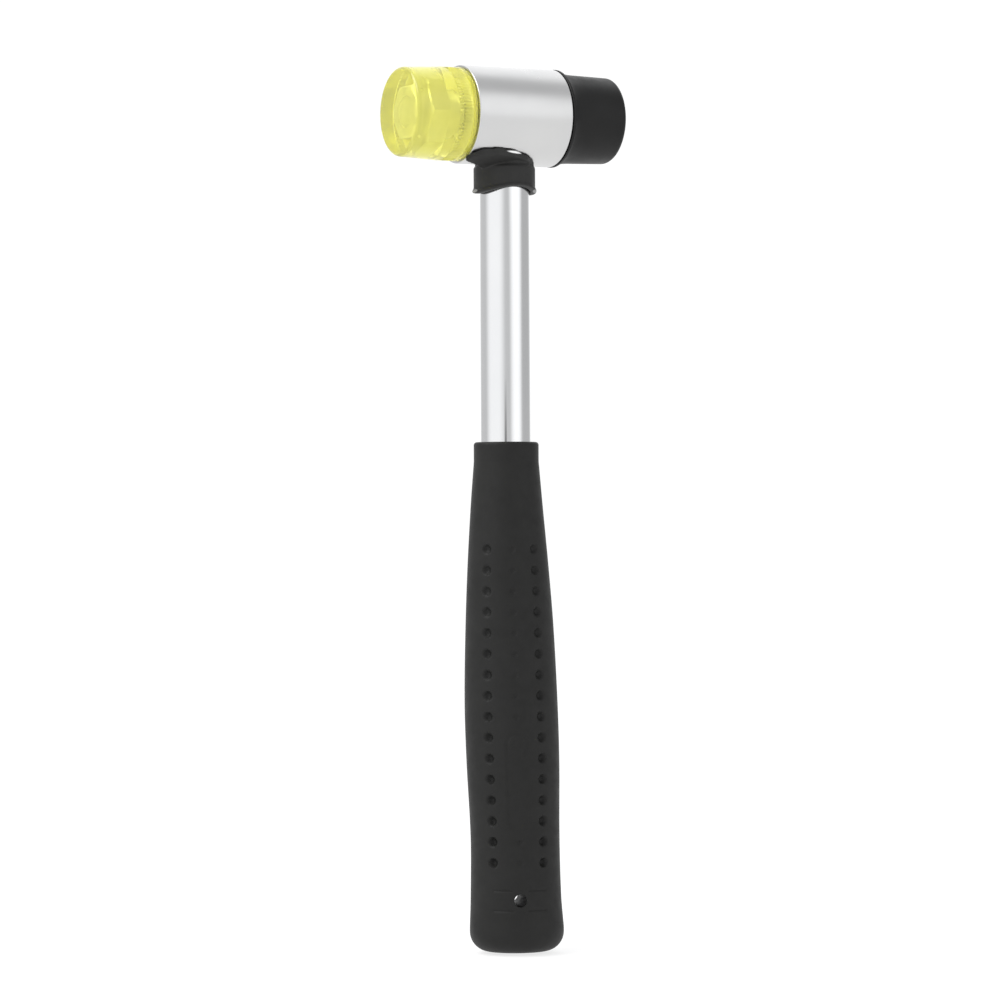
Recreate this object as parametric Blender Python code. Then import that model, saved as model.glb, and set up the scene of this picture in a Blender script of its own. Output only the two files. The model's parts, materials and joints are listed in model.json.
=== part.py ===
"""Dead blow mallet: round head on a tube handle, two screwed-in faces, moulded grip.

Metres, +Z up the handle. The origin is on the ground under the middle of the handle,
and the head lies along X.
"""
import math

import bmesh
import bpy
from mathutils import Matrix, Vector

MM = 0.001

# ---- driving dimensions ------------------------------------------------------------
HEAD_AXIS_Z = 213.2 * MM        # height of the head's axis above the grip's end
HEAD_SPAN = 60.3 * MM           # striking face to striking face
BARREL_D = 25.0 * MM
BARREL_LENGTH = 26.7 * MM
BARREL_WALL = 4.0 * MM
BARREL_CHAMFER = 0.4 * MM
PLUG_TO_TUBE = 1.5 * MM         # end plug's inner face, from the side of the tube
SHOT_D = 3.6 * MM
SHOT_TRAVEL = 1.0 * MM

FACE_EDGE_R = 1.4 * MM
CLEAR_TIP_INSET = 1.15 * MM     # clear face's skin inside the barrel's, at its tip
CLEAR_BASE_INSET = 0.55 * MM    # and at its base
CLEAR_BAND = 3.4 * MM           # length of the fluted band next to the barrel
FLUTE_COUNT = 60
FLUTE_DEPTH = 0.25 * MM
DARK_TIP_INSET = 1.4 * MM
DARK_BASE_INSET = 1.15 * MM
DARK_FLANGE_PROUD = 0.05 * MM
DARK_FLANGE = 0.7 * MM
DARK_FLARE = 5.5 * MM           # length over which the flange runs out into the body

BOLT_D = 8.0 * MM               # M8 coarse thread
BOLT_PITCH = 1.25 * MM
BOLT_HEAD_AF = 13.0 * MM
BOLT_HEAD_H = 5.3 * MM
BOLT_COVER = 5.05 * MM          # face material in front of the bolt's head
BOLT_ENGAGE = 5.55 * MM         # how far the bolt reaches into the head, on average
BOLT_PLAIN = 3.6 * MM           # unthreaded length under the bolt's head
WASHER_T = 0.8 * MM
WASHER_INSET = 1.5 * MM

TUBE_D = 12.7 * MM
TUBE_WALL = 1.2 * MM
TUBE_PROUD = 1.5 * MM           # how far the tube's end stands up in the chamber
TUBE_BOTTOM_Z = 24.0 * MM
PLUG_LENGTH = 6.0 * MM
PLUG_FLANGE = 1.0 * MM

BOOT_WALL = 1.2 * MM            # rubber boot on the neck, under the barrel
BOOT_LIP = 0.35 * MM            # how far its lower lip stands out
BOOT_SKIRT = 6.5 * MM           # skirt's length below the barrel
BOOT_ARCH = 0.8 * MM            # how far the lower rim is arched, front and back
PAD_T = 1.4 * MM                # pad wrapped round the barrel's underside
PAD_RISE = 4.6 * MM             # how far the pad climbs the barrel's side
# half of the pad's outline seen from above, over the barrel's radius; the other half is
# the same, turned round
PAD_OUTLINE = ((0.56, 0.05), (0.55, -0.21), (0.46, -0.42), (0.19, -0.64), (-0.18, -0.76),
               (-0.56, -0.784), (-0.92, -0.768), (-1.09, -0.67), (-1.16, -0.576),
               (-1.01, -0.47), (-0.82, -0.35), (-0.58, -0.13))

GRIP_TOP_Z = 130.0 * MM
GRIP_TURN = math.radians(-21.6)     # grip's front, turned from the head's side
GRIP_DEPTH = 0.9                    # depth over width where the grip is widest
# height, rubber over the tube at each side, sideways shift of the middle
GRIP_SECTIONS = (
    (6.0, 5.7, 2.2),
    (14.2, 5.25, 2.0),
    (29.5, 5.05, 1.85),
    (48.7, 5.55, 1.4),
    (64.0, 5.55, 1.0),
    (83.2, 4.9, 0.7),
    (98.5, 4.0, 0.4),
    (113.9, 2.85, 0.15),
    (125.0, 1.95, 0.1),
)
GRIP_END_R = 5.0 * MM
GRIP_TOP_R = 0.8 * MM
DIMPLE_D = 2.3 * MM
DIMPLE_DEPTH = 0.45 * MM
DIMPLE_DROP = 27.3 * MM             # first row, below the grip's top
DIMPLE_PITCH = 5.3 * MM
DIMPLE_ROWS = 16
DIMPLE_ANGLE = math.radians(33.0)   # side rows, from the grip's front
PANEL_W = 6.4 * MM
PANEL_H = 25.6 * MM
PANEL_Z = 43.8 * MM
PANEL_DEPTH = 0.35 * MM
HANG_HOLE_D = 3.3 * MM
HANG_HOLE_Z = 13.7 * MM

FIT = 0.3 * MM                  # clearance between pieces that touch on the real mallet
ROUND = 64                      # segments round a large circle

BARREL_END = BARREL_LENGTH / 2
BARREL_R = BARREL_D / 2
BORE_R = BARREL_R - BARREL_WALL
TUBE_R = TUBE_D / 2
TUBE_BORE_R = TUBE_R - TUBE_WALL
TUBE_TOP_Z = HEAD_AXIS_Z - BORE_R + TUBE_PROUD
BOLT_R = BOLT_D / 2
END_PLUG_LENGTH = BARREL_END - TUBE_R - PLUG_TO_TUBE
BOLT_END = BARREL_END - BOLT_ENGAGE             # bolt's tip, from the handle's axis
BOLT_HEAD_TOP = HEAD_SPAN / 2 - BOLT_COVER
WASHER_R = BARREL_R - WASHER_INSET
BOOT_R = TUBE_R + FIT + BOOT_WALL
BOOT_BOTTOM_Z = HEAD_AXIS_Z - BARREL_R - BOOT_SKIRT
X_AXIS = Matrix.Rotation(math.pi / 2, 4, "Y")


# ---- helpers -----------------------------------------------------------------------
def material(name, color, metallic, roughness, transmission=0.0):
    mat = bpy.data.materials.new(name)
    mat.use_nodes = True
    shader = mat.node_tree.nodes["Principled BSDF"]
    shader.inputs["Base Color"].default_value = (*color, 1.0)
    shader.inputs["Metallic"].default_value = metallic
    shader.inputs["Roughness"].default_value = roughness
    shader.inputs["Transmission Weight"].default_value = transmission
    return mat


def add_object(name, bm, mat, place=Matrix.Identity(4), origin=(0, 0, 0)):
    """Turn a bmesh into a named object whose origin is at origin."""
    origin = Vector(origin)
    bm.transform(Matrix.Translation(-origin) @ place)
    if bm.calc_volume(signed=True) < 0:
        bmesh.ops.reverse_faces(bm, faces=bm.faces)
    mesh = bpy.data.meshes.new(name)
    bm.to_mesh(mesh)
    bm.free()
    obj = bpy.data.objects.new(name, mesh)
    obj.location = origin
    bpy.context.scene.collection.objects.link(obj)
    if mat:
        mesh.materials.append(mat)
    mesh.shade_smooth()
    mesh.set_sharp_from_angle(angle=math.radians(35))
    return obj


def lathe(profile, segments=ROUND):
    """Closed (radius, height) outline turned round Z; radius 0 is a pole."""
    bm = bmesh.new()
    rings = []
    for radius, height in profile:
        if radius < 1e-9:
            rings.append([bm.verts.new((0, 0, height))])
            continue
        rings.append([bm.verts.new((radius * math.cos(turn), radius * math.sin(turn), height))
                      for turn in (2 * math.pi * i / segments for i in range(segments))])
    on_axis = profile[0][0] < 1e-9 and profile[-1][0] < 1e-9
    pairs = list(zip(rings, rings[1:])) + ([] if on_axis else [(rings[-1], rings[0])])
    for low, high in pairs:
        for i in range(segments):
            j = (i + 1) % segments
            corners = [low[i % len(low)], low[j % len(low)], high[j % len(high)],
                       high[i % len(high)]]
            bm.faces.new(list(dict.fromkeys(corners)))
    return bm


def prism(radius, length, sides, turn=0.0):
    bm = bmesh.new()
    bmesh.ops.create_cone(bm, cap_ends=True, segments=sides, radius1=radius, radius2=radius,
                          depth=length, matrix=Matrix.Rotation(turn, 4, "Z"))
    return bm


def cut(target, cutter, operation="DIFFERENCE"):
    """Boolean modifier with a hidden cutter."""
    cutter.hide_render = True
    cutter.display_type = "WIRE"
    mod = target.modifiers.new(operation.title() + " " + cutter.name, "BOOLEAN")
    mod.operation = operation
    mod.solver = "EXACT"
    mod.object = cutter


def arc(cx, cz, radius, start, end, steps):
    """Points of an arc in the profile's plane, angles in degrees."""
    turns = [math.radians(start + (end - start) * i / steps) for i in range(steps + 1)]
    return [(cx + radius * math.cos(t), cz + radius * math.sin(t)) for t in turns]


def smooth_between(keys, value):
    """Catmull-Rom through (position, *values) keys."""
    keys = sorted(keys)
    value = min(max(value, keys[0][0]), keys[-1][0])
    i = next(n for n in range(len(keys) - 1) if value <= keys[n + 1][0])
    a, b = keys[i], keys[i + 1]
    before, after = keys[max(i - 1, 0)], keys[min(i + 2, len(keys) - 1)]
    t = (value - a[0]) / (b[0] - a[0])
    out = []
    for n in range(1, len(a)):
        slope_a = (b[n] - before[n]) / (b[0] - before[0]) * (b[0] - a[0])
        slope_b = (after[n] - a[n]) / (after[0] - a[0]) * (b[0] - a[0])
        out.append((2 * t**3 - 3 * t**2 + 1) * a[n] + (t**3 - 2 * t**2 + t) * slope_a
                   + (3 * t**2 - 2 * t**3) * b[n] + (t**3 - t**2) * slope_b)
    return out


# ---- head --------------------------------------------------------------------------
def build_barrel(mat):
    outer, half, edge = BARREL_R, BARREL_END, BARREL_CHAMFER
    profile = [(BORE_R, -half), (outer - edge, -half), (outer, -half + edge),
               (outer, half - edge), (outer - edge, half), (BORE_R, half)]
    barrel = add_object("head_barrel", lathe(profile), mat,
                        Matrix.Translation((0, 0, HEAD_AXIS_Z)) @ X_AXIS)
    socket_top = TUBE_TOP_Z + PLUG_FLANGE + 2 * FIT
    socket = add_object("socket_cutter", prism(TUBE_R + FIT, BARREL_D, 48), None,
                        Matrix.Translation((0, 0, socket_top - BARREL_D / 2)))
    cut(barrel, socket)
    return barrel


def build_end_plug(name, side, mat):
    """Tapped plug that closes one end of the barrel; the face's bolt screws into it."""
    outer = BORE_R - FIT
    bore = BOLT_R + FIT
    profile = [(bore, 0), (outer, 0), (outer, -END_PLUG_LENGTH + 0.5 * MM),
               (outer - 0.5 * MM, -END_PLUG_LENGTH), (bore, -END_PLUG_LENGTH)]
    return add_object(name, lathe(profile, 48), mat,
                      Matrix.Translation((side * BARREL_END, 0, HEAD_AXIS_Z)) @ facing(side))


def facing(side):
    """Turns a profile's +Z to +X or -X."""
    return Matrix.Rotation(side * math.pi / 2, 4, "Y")


def build_shot(mat):
    """Loose steel balls, one object each, in two layers above the handle's end."""
    radius = SHOT_D / 2
    pitch = SHOT_D + FIT
    room = SHOT_TRAVEL + radius + 2 * FIT
    reach = min(BARREL_END - END_PLUG_LENGTH, BOLT_END) - room
    floor = TUBE_TOP_Z + PLUG_FLANGE + radius + FIT
    columns = int(2 * reach / pitch) + 1
    number = 0
    for column in range(columns):
        x = reach * (2 * column / max(columns - 1, 1) - 1)
        for layer, offsets in enumerate(((-1, 0, 1), (-0.5, 0.5))):
            z = floor + layer * pitch * 0.9
            for offset in offsets:
                if math.hypot(offset * pitch, z - HEAD_AXIS_Z) > BORE_R - radius - FIT:
                    continue
                number += 1
                bm = bmesh.new()
                bmesh.ops.create_icosphere(bm, subdivisions=2, radius=radius)
                spot = (x, offset * pitch, z)
                add_object(f"shot_{number:02d}", bm, mat, Matrix.Translation(spot), origin=spot)


# ---- faces -------------------------------------------------------------------------
def face_base(side):
    """X of the face's inner end, clear of the washer that lies against the barrel."""
    return side * (BARREL_END + FIT)


def build_face(name, side, outline, mat):
    """Soft striking face with a pocket for its moulded-in bolt and its washer.

    outline(length) gives the outer profile from the base at 0 to the tip at length.
    """
    base = face_base(side)
    length = HEAD_SPAN / 2 - abs(base)
    place = Matrix.Translation((base, 0, HEAD_AXIS_Z)) @ facing(side)
    washer_depth = WASHER_T + FIT
    profile = [(0, washer_depth), (WASHER_R + FIT, washer_depth),
               (WASHER_R + FIT, 0)] + outline(length) + [(0, length)]
    face = add_object(name, lathe(profile), mat, place, origin=(base, 0, HEAD_AXIS_Z))

    head_top = BOLT_HEAD_TOP - abs(base)
    head_r = BOLT_HEAD_AF / 2 / math.cos(math.pi / 6) + FIT
    pocket = prism(head_r, BOLT_HEAD_H + 2 * FIT, 6)
    bmesh.ops.translate(pocket, verts=pocket.verts,
                        vec=(0, 0, head_top - BOLT_HEAD_H / 2))
    cut(face, add_object(name + "_pocket", pocket, None, place))
    shank = prism(BOLT_R + FIT, head_top, 36)
    bmesh.ops.translate(shank, verts=shank.verts, vec=(0, 0, head_top / 2 - BOLT_HEAD_H / 2))
    cut(face, add_object(name + "_shank", shank, None, place))
    return face


def clear_outline(length):
    base, tip = BARREL_R - CLEAR_BASE_INSET, BARREL_R - CLEAR_TIP_INSET
    edge = arc(tip - FACE_EDGE_R, length - FACE_EDGE_R, FACE_EDGE_R, 0, 90, 6)
    return [(base - 0.3 * MM, 0), (base, 0.3 * MM)] + edge


def dark_outline(length):
    base, tip = BARREL_R - DARK_BASE_INSET, BARREL_R - DARK_TIP_INSET
    flange = BARREL_R + DARK_FLANGE_PROUD
    depth = flange - base
    fillet = [(flange + depth * math.cos(t), DARK_FLANGE + DARK_FLARE * (1 + math.sin(t)))
              for t in (math.radians(-90 - 18 * i) for i in range(6))]
    edge = arc(tip - FACE_EDGE_R, length - FACE_EDGE_R, FACE_EDGE_R, 0, 90, 6)
    return [(flange, 0), (flange, DARK_FLANGE - 0.15 * MM)] + fillet[1:] + edge


def flute(face, side):
    """Fine grip flutes on the clear face's band."""
    bm = bmesh.new()
    radius = BARREL_R - CLEAR_BASE_INSET
    for i in range(FLUTE_COUNT):
        turn = Matrix.Rotation(2 * math.pi * i / FLUTE_COUNT, 4, "Z")
        place = turn @ Matrix.Translation((radius + FLUTE_DEPTH, 0, 1.5 * MM + CLEAR_BAND / 2))
        place = place @ Matrix.Rotation(math.pi / 4, 4, "Z")
        bmesh.ops.create_cube(bm, size=1.0, matrix=place @ Matrix.Diagonal(
            (2.6 * FLUTE_DEPTH, 2.6 * FLUTE_DEPTH, CLEAR_BAND, 1)))
    cut(face, add_object("flute_cutter", bm, None,
                         Matrix.Translation((face_base(side), 0, HEAD_AXIS_Z)) @ facing(side)))


def build_bolt(name, side, mat):
    """Hexagon-head M8 bolt with a real helical thread, head towards the tip."""
    base = face_base(side)
    head_top = BOLT_HEAD_TOP - abs(base)
    neck = head_top - BOLT_HEAD_H
    end = BOLT_END - abs(base)
    segments = 24
    root = BOLT_R - 0.54 * BOLT_PITCH
    steps = 4
    bm = bmesh.new()
    thread_start, thread_end = end + 0.8 * MM, neck - BOLT_PLAIN
    count = round((thread_end - thread_start) / BOLT_PITCH * steps)
    heights = [thread_start + (thread_end - thread_start) * i / count for i in range(count + 1)]

    def radius_at(height, angle):
        phase = ((height - thread_start) / BOLT_PITCH - angle / (2 * math.pi)) % 1.0
        ridge = 1 - abs(2 * phase - 1)
        fade = min(1.0, (height - thread_start) / BOLT_PITCH, (thread_end - height) / BOLT_PITCH)
        crest = root + (BOLT_R - root) * min(1.0, 1.25 * ridge)
        return root + (crest - root) * max(fade, 0.0)

    def ring(height, radius_of):
        return [bm.verts.new((radius_of(a) * math.cos(a), radius_of(a) * math.sin(a), height))
                for a in (2 * math.pi * i / segments for i in range(segments))]

    stack = [ring(end, lambda a: root - 0.5 * MM)]
    stack += [ring(h, lambda a, h=h: radius_at(h, a)) for h in heights]
    stack += [ring(thread_end + 0.3 * MM, lambda a: BOLT_R), ring(neck, lambda a: BOLT_R)]
    head_r = BOLT_HEAD_AF / 2 / math.cos(math.pi / 6)

    def hexagon(angle):
        return BOLT_HEAD_AF / 2 / math.cos((angle + math.pi / 6) % (math.pi / 3) - math.pi / 6)

    stack += [ring(neck, lambda a: min(head_r, hexagon(a))),
              ring(head_top - 0.6 * MM, lambda a: min(head_r, hexagon(a))),
              ring(head_top, lambda a: min(BOLT_HEAD_AF / 2 * 0.97, hexagon(a)))]
    for low, high in zip(stack, stack[1:]):
        for i in range(segments):
            j = (i + 1) % segments
            bm.faces.new((low[i], low[j], high[j], high[i]))
    bm.faces.new(list(reversed(stack[0])))
    bm.faces.new(stack[-1])
    bmesh.ops.triangulate(bm, faces=bm.faces)
    return add_object(name, bm, mat, Matrix.Translation((base, 0, HEAD_AXIS_Z)) @ facing(side),
                      origin=(base, 0, HEAD_AXIS_Z))


def build_washer(name, side, mat):
    """Thin washer under the face; it moves out with the face as the bolt unscrews."""
    base = face_base(side)
    inner, outer = BOLT_R + FIT, WASHER_R
    profile = [(inner, 0), (outer - 0.1 * MM, 0), (outer, 0.1 * MM), (outer, WASHER_T - 0.1 * MM),
               (outer - 0.1 * MM, WASHER_T), (inner, WASHER_T)]
    return add_object(name, lathe(profile, 48), mat,
                      Matrix.Translation((base, 0, HEAD_AXIS_Z)) @ facing(side),
                      origin=(base, 0, HEAD_AXIS_Z))


# ---- handle ------------------------------------------------------------------------
def build_tube(mat):
    edge = 0.2 * MM
    profile = [(TUBE_BORE_R, TUBE_BOTTOM_Z), (TUBE_R - edge, TUBE_BOTTOM_Z),
               (TUBE_R, TUBE_BOTTOM_Z + edge), (TUBE_R, TUBE_TOP_Z - edge),
               (TUBE_R - edge, TUBE_TOP_Z), (TUBE_BORE_R, TUBE_TOP_Z)]
    return add_object("handle_tube", lathe(profile, 48), mat)


def build_tube_plug(name, mouth_z, up, mat):
    """Stopper in one end of the tube, with a flange over the tube's rim."""
    body, flange = TUBE_BORE_R - FIT, TUBE_R - FIT
    sign = 1 if up else -1
    heights = [(0, -PLUG_LENGTH), (body - 0.4 * MM, -PLUG_LENGTH), (body, -PLUG_LENGTH + 0.6 * MM),
               (body, FIT), (flange, FIT), (flange, PLUG_FLANGE), (0, PLUG_FLANGE)]
    return add_object(name, lathe([(r, mouth_z + sign * h) for r, h in heights], 48), mat)


def build_boot(mat):
    """Rubber boot on the neck: arched skirt, and a pad wrapped round the barrel's underside."""
    outer, lip = BOOT_R, BOOT_R + BOOT_LIP
    bottom, top = BOOT_BOTTOM_Z, HEAD_AXIS_Z - BARREL_R + 1.5 * MM
    profile = [(0, bottom), (outer, bottom), (lip, bottom + 0.35 * MM),
               (lip, bottom + 0.8 * MM), (outer, bottom + 1.4 * MM), (outer, top), (0, top)]
    bm = lathe(profile, 48)
    for vert in bm.verts:
        if vert.co.z < (bottom + top) / 2 and vert.co.xy.length > TUBE_R / 2:
            front = vert.co.y / vert.co.xy.length
            vert.co.z += BOOT_ARCH * front * front
    boot = add_object("neck_boot", bm, mat)

    left, right = -BARREL_END - 4 * FIT, BARREL_END - 2 * FIT
    outline = [Vector((x, y)) * BARREL_R for x, y in PAD_OUTLINE]
    outline += [-p for p in outline]
    outline = [Vector((min(max(p.x, left), right), p.y)) for p in outline]
    low, high = BOOT_BOTTOM_Z + BOOT_SKIRT / 2, HEAD_AXIS_Z - BARREL_R + PAD_RISE
    bm = bmesh.new()
    near = [bm.verts.new((*p, low)) for p in outline]
    far = [bm.verts.new((*p, high)) for p in outline]
    bm.faces.new(list(reversed(near)))
    bm.faces.new(far)
    for i in range(len(outline)):
        j = (i + 1) % len(outline)
        bm.faces.new((near[i], near[j], far[j], far[i]))
    pad = add_object("pad_block", bm, None)
    along = Matrix.Translation((0, 0, HEAD_AXIS_Z)) @ X_AXIS
    wrap = add_object("pad_wrap", prism(BARREL_R + FIT + PAD_T, 2 * BARREL_LENGTH, ROUND),
                      None, along)
    cut(pad, wrap, "INTERSECT")
    cut(boot, pad, "UNION")
    cut(boot, add_object("pad_hollow", prism(BARREL_R + FIT, 3 * BARREL_LENGTH, ROUND),
                         None, along))
    cut(boot, add_object("boot_bore", prism(TUBE_R + FIT, BARREL_LENGTH, 48), None,
                         Matrix.Translation((0, 0, bottom + BARREL_LENGTH / 2 - 2 * MM))))
    return boot


def grip_section(height):
    rubber, shift = smooth_between(GRIP_SECTIONS, height / MM)
    half, shift = TUBE_R + rubber * MM, shift * MM
    roundness = min(max((height / GRIP_TOP_Z - 0.54) / 0.38, 0), 1)
    depth = half * (GRIP_DEPTH + (1 - GRIP_DEPTH) * roundness)
    end = max(0.0, GRIP_END_R - height)
    inset = GRIP_END_R - math.sqrt(max(GRIP_END_R**2 - end**2, 0.0))
    top = max(0.0, height - (GRIP_TOP_Z - GRIP_TOP_R))
    inset += GRIP_TOP_R - math.sqrt(max(GRIP_TOP_R**2 - top**2, 0.0))
    return half - inset, depth - inset, shift


def grip_point(height, angle, sink=0.0):
    """Point of the grip's skin; angle 0 is its front, positive to its right."""
    half, depth, shift = grip_section(height)
    out = Vector((math.sin(angle), -math.cos(angle), 0))
    radius = 1 / math.hypot(out.x / half, out.y / depth)
    return Vector((shift, 0, height)) + out * (radius - sink)


def build_grip(mat):
    turn = Matrix.Rotation(GRIP_TURN, 4, "Z")
    end = [GRIP_END_R * (1 - math.cos(math.radians(a))) for a in (25, 45, 65, 80, 90)]
    body = [GRIP_END_R + (GRIP_TOP_Z - GRIP_TOP_R - GRIP_END_R) * i / 24 for i in range(1, 25)]
    lip = [GRIP_TOP_Z - GRIP_TOP_R * (1 - math.sin(math.radians(a))) for a in (30, 60, 90)]
    heights = [0.0] + end + body + lip
    segments = 48
    bm = bmesh.new()
    rings = [[bm.verts.new(grip_point(h, 2 * math.pi * i / segments)) for i in range(segments)]
             for h in heights]
    for low, high in zip(rings, rings[1:]):
        for i in range(segments):
            j = (i + 1) % segments
            bm.faces.new((low[i], low[j], high[j], high[i]))
    bm.faces.new(list(reversed(rings[0])))
    bm.faces.new(rings[-1])
    grip = add_object("grip", bm, mat, turn)

    bore_bottom = TUBE_BOTTOM_Z - PLUG_FLANGE - FIT
    bore = prism(TUBE_R + FIT, GRIP_TOP_Z - bore_bottom + 10 * MM, 48)
    bmesh.ops.translate(bore, verts=bore.verts,
                        vec=(0, 0, (GRIP_TOP_Z + bore_bottom + 10 * MM) / 2))
    cut(grip, add_object("grip_bore", bore, None))

    hole_x = grip_section(HANG_HOLE_Z)[2]
    cut(grip, add_object("hang_hole", prism(HANG_HOLE_D / 2, 60 * MM, 24), None,
                         turn @ Matrix.Translation((hole_x, 0, HANG_HOLE_Z))
                         @ Matrix.Rotation(math.pi / 2, 4, "X")))
    cut(grip, build_dimples(turn))
    cut(grip, build_panel(turn))
    return grip


def build_dimples(turn):
    """Balls that sink shallow dimples into the grip's skin."""
    sphere = (DIMPLE_D**2 / 4 + DIMPLE_DEPTH**2) / (2 * DIMPLE_DEPTH)
    spots = []
    for row in range(DIMPLE_ROWS):
        height = GRIP_TOP_Z - DIMPLE_DROP - row * DIMPLE_PITCH
        for angle in (-DIMPLE_ANGLE, DIMPLE_ANGLE):
            spots += [(height, angle), (height, math.pi + angle)]
        if abs(height - PANEL_Z) > PANEL_H / 2 + DIMPLE_D:
            spots += [(height, 0.0), (height, math.pi)]
    bm = bmesh.new()
    for height, angle in spots:
        centre = grip_point(height, angle, DIMPLE_DEPTH - sphere)
        bmesh.ops.create_icosphere(bm, subdivisions=2, radius=sphere,
                                   matrix=Matrix.Translation(centre))
    return add_object("dimple_cutter", bm, None, turn)


def build_panel(turn):
    """Plain round-ended recess in the grip's front."""
    radius = PANEL_W / 2
    straight = PANEL_H / 2 - radius
    front = grip_point(PANEL_Z, 0.0)
    bm = bmesh.new()
    outline = []
    for i in range(24):
        angle = 2 * math.pi * i / 24
        lift = straight if i <= 12 else -straight
        outline.append((radius * math.cos(angle), radius * math.sin(angle) + lift))
    near = [bm.verts.new((front.x + x, front.y - 3 * MM, PANEL_Z + z)) for x, z in outline]
    deep = [bm.verts.new((front.x + x, front.y + PANEL_DEPTH, PANEL_Z + z)) for x, z in outline]
    bm.faces.new(near)
    bm.faces.new(list(reversed(deep)))
    for i in range(24):
        j = (i + 1) % 24
        bm.faces.new((near[j], near[i], deep[i], deep[j]))
    return add_object("panel_cutter", bm, None, turn)


# ---- assembly ----------------------------------------------------------------------
def main():
    for obj in list(bpy.data.objects):
        bpy.data.objects.remove(obj, do_unlink=True)

    satin = material("satin_nickel", (0.72, 0.72, 0.71), 1.0, 0.3)
    chrome = material("chrome", (0.82, 0.83, 0.84), 1.0, 0.12)
    zinc = material("zinc_steel", (0.6, 0.62, 0.58), 1.0, 0.35)
    plug_steel = material("plug_steel", (0.5, 0.5, 0.5), 1.0, 0.4)
    shot_steel = material("shot_steel", (0.45, 0.45, 0.47), 1.0, 0.3)
    yellow = material("yellow_resin", (0.88, 0.85, 0.1), 0.0, 0.12, 0.6)
    nylon = material("black_nylon", (0.025, 0.025, 0.025), 0.0, 0.5)
    rubber = material("black_rubber", (0.035, 0.035, 0.033), 0.0, 0.6)
    grip_rubber = material("grip_rubber", (0.033, 0.033, 0.03), 0.0, 0.65)
    plug_plastic = material("plug_plastic", (0.1, 0.1, 0.1), 0.0, 0.5)

    build_barrel(satin)
    build_end_plug("left_end_plug", -1, plug_steel)
    build_end_plug("right_end_plug", 1, plug_steel)
    build_shot(shot_steel)

    flute(build_face("yellow_face", -1, clear_outline, yellow), -1)
    build_bolt("yellow_face_bolt", -1, zinc)
    build_washer("yellow_face_washer", -1, zinc)
    build_face("black_face", 1, dark_outline, nylon)
    build_bolt("black_face_bolt", 1, zinc)
    build_washer("black_face_washer", 1, zinc)

    build_tube(chrome)
    build_tube_plug("tube_top_plug", TUBE_TOP_Z, True, plug_steel)
    build_tube_plug("tube_bottom_plug", TUBE_BOTTOM_Z, False, plug_plastic)
    build_boot(rubber)
    build_grip(grip_rubber)


main()
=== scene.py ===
import json
import math

import bmesh
import bpy
from mathutils import Matrix, Vector


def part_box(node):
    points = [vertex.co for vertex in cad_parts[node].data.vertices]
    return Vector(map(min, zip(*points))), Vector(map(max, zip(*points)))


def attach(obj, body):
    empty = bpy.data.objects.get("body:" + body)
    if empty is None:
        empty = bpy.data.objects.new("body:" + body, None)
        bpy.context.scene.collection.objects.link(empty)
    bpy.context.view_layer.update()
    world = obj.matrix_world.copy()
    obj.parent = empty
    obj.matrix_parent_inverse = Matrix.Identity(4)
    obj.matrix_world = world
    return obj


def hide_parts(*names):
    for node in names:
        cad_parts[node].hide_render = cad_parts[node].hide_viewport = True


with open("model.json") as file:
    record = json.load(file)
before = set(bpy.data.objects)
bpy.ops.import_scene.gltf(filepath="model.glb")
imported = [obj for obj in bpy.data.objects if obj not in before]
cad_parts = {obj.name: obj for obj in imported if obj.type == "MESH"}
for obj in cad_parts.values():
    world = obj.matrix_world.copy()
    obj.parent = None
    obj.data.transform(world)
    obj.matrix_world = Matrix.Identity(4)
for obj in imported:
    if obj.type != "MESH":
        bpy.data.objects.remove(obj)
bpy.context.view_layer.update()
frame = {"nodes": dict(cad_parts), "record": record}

MM = 0.001

# ---- head, tube and boot: places read from the frame -----------------------------------
BARREL_LO, BARREL_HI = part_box("head_barrel")
AXIS_Z = (BARREL_LO[2] + BARREL_HI[2]) / 2
BARREL_R = (BARREL_HI[2] - BARREL_LO[2]) / 2
BARREL_BOTTOM = AXIS_Z - BARREL_R
BORE_R = 8.5 * MM
YELLOW_LO, YELLOW_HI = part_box("yellow_face")
BLACK_LO, BLACK_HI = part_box("black_face")
TUBE_LO, TUBE_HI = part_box("handle_tube")
TUBE_R = (TUBE_HI[0] - TUBE_LO[0]) / 2
TUBE_WALL = 1.2 * MM
BOOT_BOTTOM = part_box("neck_boot")[0][2]
GRIP_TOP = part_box("grip")[1][2]

# ---- bolts -----------------------------------------------------------------------------
BOLT_R = 4.0 * MM
BOLT_PITCH = 1.25 * MM
BOLT_ACROSS = 13.0 * MM         # across the flats of the hexagon
BOLT_HEAD_H = 5.3 * MM
BOLT_SHANK = 12.0 * MM
BOLT_HEAD_DEPTH = 5.05 * MM     # from a face's striking end to the bolt head inside it

# ---- boot ------------------------------------------------------------------------------
SKIRT_R = 7.88 * MM
LIP_R = 8.25 * MM
LIP_DROP = 0.9 * MM             # the soft lip hangs this far below the CAD boot
LIP_ARCH = 1.75 * MM            # and is lifted this far at the front and the back
BOOT_GAP = 0.25 * MM            # between the boot and the metal in it
PAD_WRAP = 1.15 * MM            # thickness of the pad on the barrel
# half of the pad's outline in X and Y, in barrel radii; the other half is this one turned round Z
PAD_OUTLINE = (
    (0.56, 0.05), (0.55, -0.21), (0.46, -0.42), (0.22, -0.60), (-0.12, -0.70), (-0.5, -0.73),
    (-0.88, -0.70), (-1.09, -0.60), (-1.16, -0.51), (-1.01, -0.43), (-0.82, -0.35), (-0.58, -0.13),
)
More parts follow.
